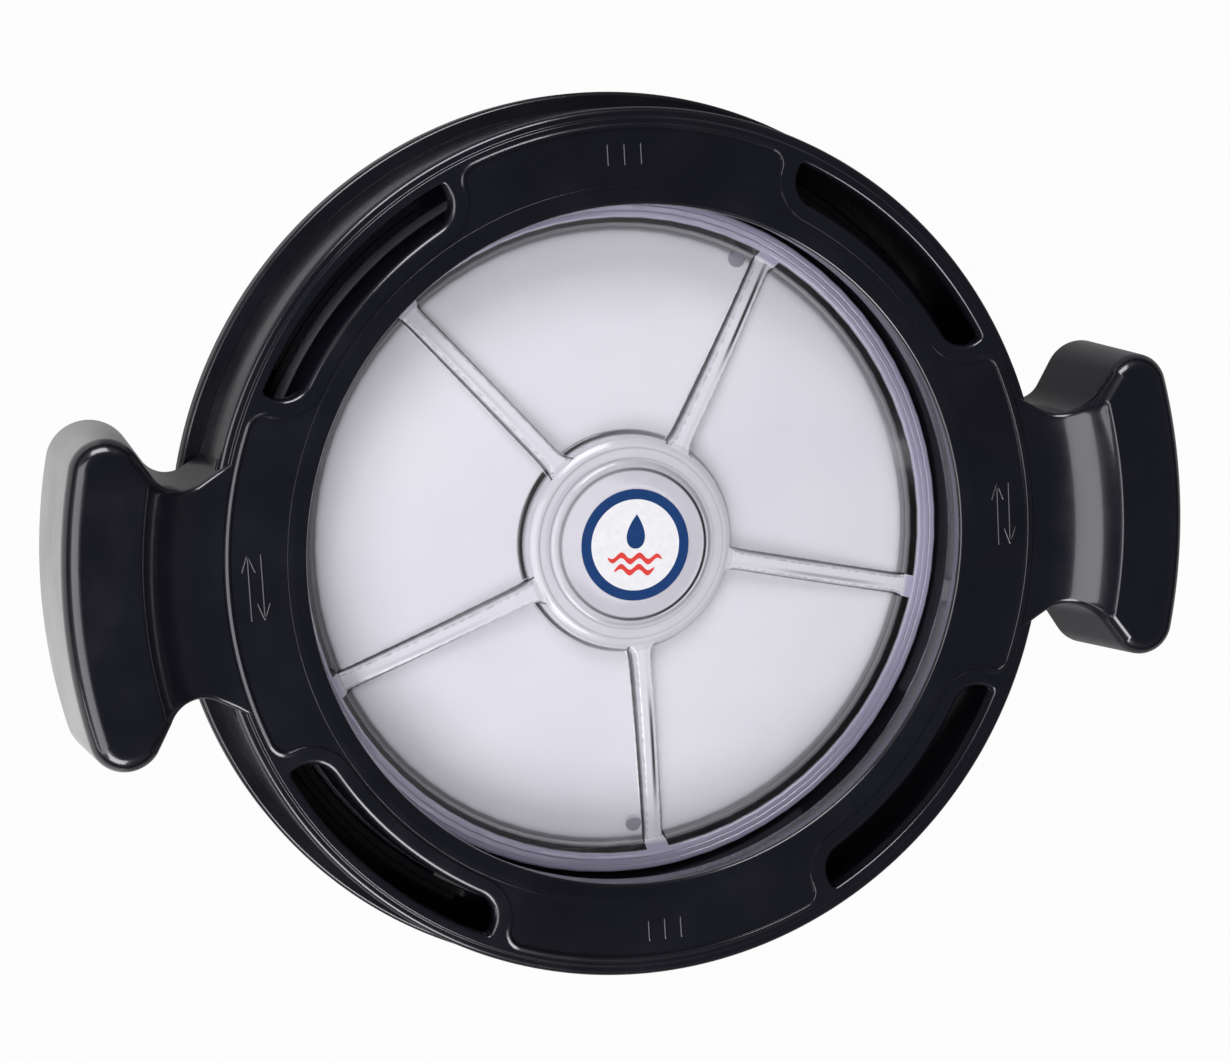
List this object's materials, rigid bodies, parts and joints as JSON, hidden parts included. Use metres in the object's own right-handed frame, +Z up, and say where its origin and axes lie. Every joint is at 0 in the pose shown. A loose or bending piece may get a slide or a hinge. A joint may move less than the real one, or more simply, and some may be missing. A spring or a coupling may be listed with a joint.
{
  "type": "pump strainer lid with locking clamp",
  "caption": "Clear domed lid with O-ring, held on a pump strainer pot by a ramp ring and a turning cam ring with two hollow grips.",
  "frame": {"origin": "on the ring axis, at the underside of the ramp ring", "axes": "+Z up out of the pot, handles of the locked cam ring along X"},
  "size_m": [0.308, 0.2388, 0.047],
  "materials": {
    "cam_plastic": "gloss",
    "ramp_plastic": "satin",
    "clear_plastic": "clear",
    "seal_rubber": "matt",
    "label_film": "printed film"
  },
  "bodies": {
    "ramp_ring": {"ramp_ring": "ramp_plastic"},
    "lid": {"lid": "clear_plastic", "lid_seal": "seal_rubber", "label": "label_film"},
    "cam_ring": {"cam_ring": "cam_plastic"}
  },
  "joints": [
    {"name": "lid_lift", "type": "slide", "parent": "ramp_ring", "child": "lid", "axis": [0, 0, 1], "range_m": [0, 0.00246]},
    {"name": "cam_turn", "type": "hinge", "parent": "lid", "child": "cam_ring", "pos_m": [0, 0, 0.03], "axis": [0, 0, 1], "range_deg": [0, 35]}
  ],
  "couplings": [
    {"joint": "lid_lift", "follows": "cam_turn", "m_per_rad": 0.0040107}
  ]
}
